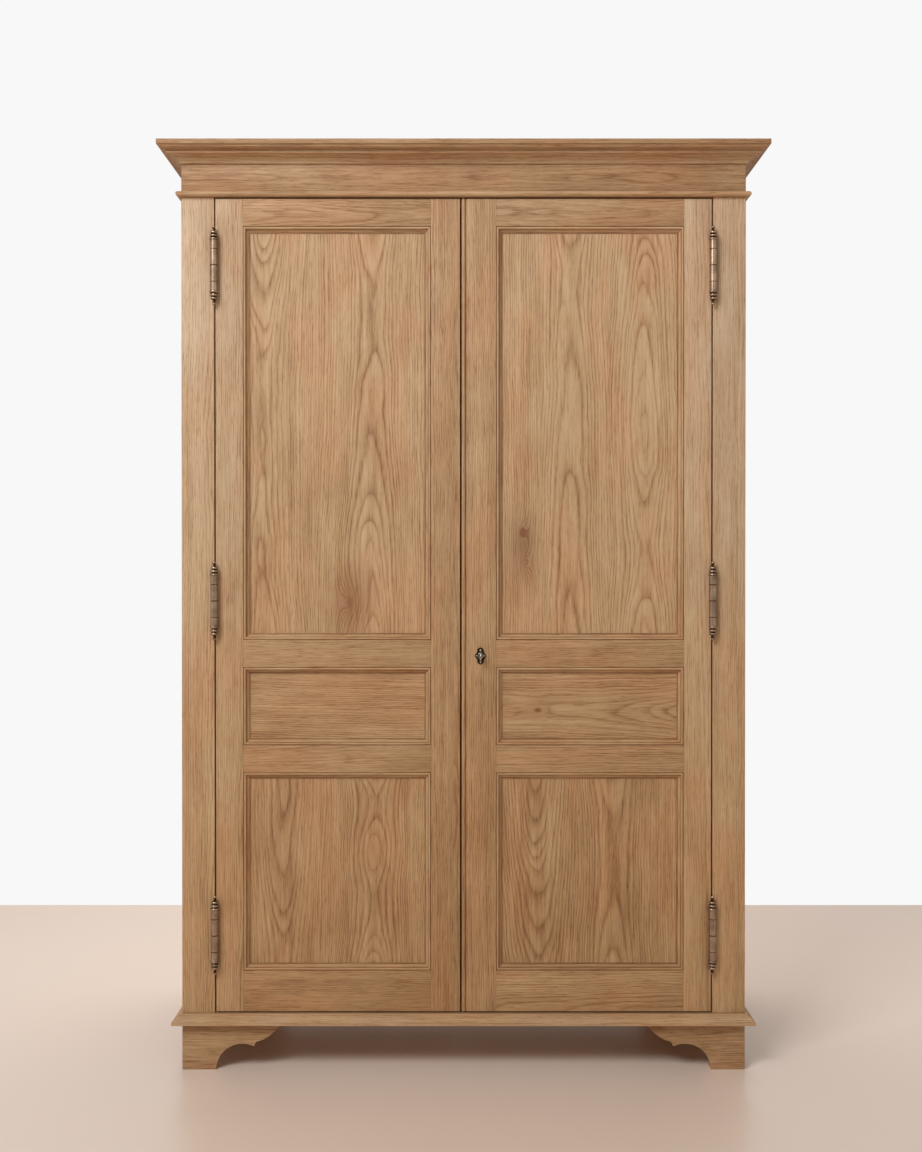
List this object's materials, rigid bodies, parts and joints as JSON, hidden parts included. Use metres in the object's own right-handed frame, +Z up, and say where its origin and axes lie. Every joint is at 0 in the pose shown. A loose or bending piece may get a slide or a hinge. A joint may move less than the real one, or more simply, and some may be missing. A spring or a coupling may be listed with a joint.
{
  "type": "wardrobe",
  "caption": "Free-standing oak wardrobe with panelled doors on turned lift-off hinges, cove cornice and ogee bracket feet.",
  "frame": {"origin": "on the floor under the middle of the bounding box", "axes": "+Z up, the doors face -Y, +X to the right seen from the front"},
  "size_m": [1.374, 0.647, 2.1],
  "materials": {
    "oak": "light honey oak, waxed, satin",
    "panel_oak": "light honey oak boards glued up from staves, waxed",
    "inner_oak": "plain oak inside, unwaxed",
    "hinge_metal": "aged brass, brown patina with rubbed highlights",
    "brass": "dull brass",
    "steel": "drawn steel, satin",
    "dark_iron": "dark antique iron with rubbed edges"
  },
  "bodies": {
    "carcass": {"left_front_post": "oak", "right_front_post": "oak", "left_rear_post": "oak", "right_rear_post": "oak", "left_side_rails": "oak", "right_side_rails": "oak", "left_side_panels": "panel_oak", "right_side_panels": "panel_oak", "side_mouldings": "oak", "back_rails": "inner_oak", "back_boards": "inner_oak", "base_frame": "oak", "front_feet": "oak", "rear_feet": "oak", "foot_blocks": "inner_oak", "floor_board": "inner_oak", "frieze_boards": "oak", "necking_bead": "oak", "cove_moulding": "oak", "top_board": "oak", "head_blocks": "inner_oak", "door_stop": "inner_oak", "dowels": "inner_oak", "hat_shelf": "inner_oak", "shelf_cleats": "inner_oak", "hanging_rail": "steel", "rail_sockets": "steel", "left_hinge_pins": "hinge_metal", "right_hinge_pins": "hinge_metal", "carcass_screws": "steel", "bolt_keepers": "brass"},
    "left_door": {"left_hinge_stile": "oak", "left_meeting_stile": "oak", "left_door_rails": "oak", "left_upper_panel": "panel_oak", "left_middle_panel": "panel_oak", "left_lower_panel": "panel_oak", "left_door_mouldings": "oak", "left_hinge_sockets": "hinge_metal", "left_door_screws": "steel", "bolt_guides": "brass", "lock_keeper": "dark_iron"},
    "right_door": {"right_hinge_stile": "oak", "right_meeting_stile": "oak", "right_door_rails": "oak", "right_upper_panel": "panel_oak", "right_middle_panel": "panel_oak", "right_lower_panel": "panel_oak", "right_door_mouldings": "oak", "right_hinge_sockets": "hinge_metal", "right_door_screws": "steel", "lock_case": "dark_iron", "escutcheon": "dark_iron"},
    "top_bolt": {"top_bolt": "steel"},
    "bottom_bolt": {"bottom_bolt": "steel"},
    "lock_bolt": {"lock_bolt": "steel"},
    "key": {"key": "dark_iron"}
  },
  "joints": [
    {"name": "left_door_hinge", "type": "hinge", "parent": "carcass", "child": "left_door", "pos_m": [-0.56425, -0.287, 1.067], "axis": [0, 0, -1], "range_deg": [0, 170]},
    {"name": "right_door_hinge", "type": "hinge", "parent": "carcass", "child": "right_door", "pos_m": [0.56425, -0.287, 1.067], "axis": [0, 0, 1], "range_deg": [0, 170]},
    {"name": "top_bolt_slide", "type": "slide", "parent": "left_door", "child": "top_bolt", "axis": [0, 0, 1], "range_m": [0, 0.015]},
    {"name": "bottom_bolt_slide", "type": "slide", "parent": "left_door", "child": "bottom_bolt", "axis": [0, 0, -1], "range_m": [0, 0.015]},
    {"name": "key_turn", "type": "hinge", "parent": "right_door", "child": "key", "pos_m": [0.0385, -0.2765, 0.942], "axis": [0, -1, 0], "range_deg": [0, 360]},
    {"name": "lock_bolt_slide", "type": "slide", "parent": "right_door", "child": "lock_bolt", "axis": [-1, 0, 0], "range_m": [0, 0.014]}
  ],
  "couplings": [
    {"joint": "key_turn", "follows": "lock_bolt_slide", "rad_per_m": 448.8}
  ]
}
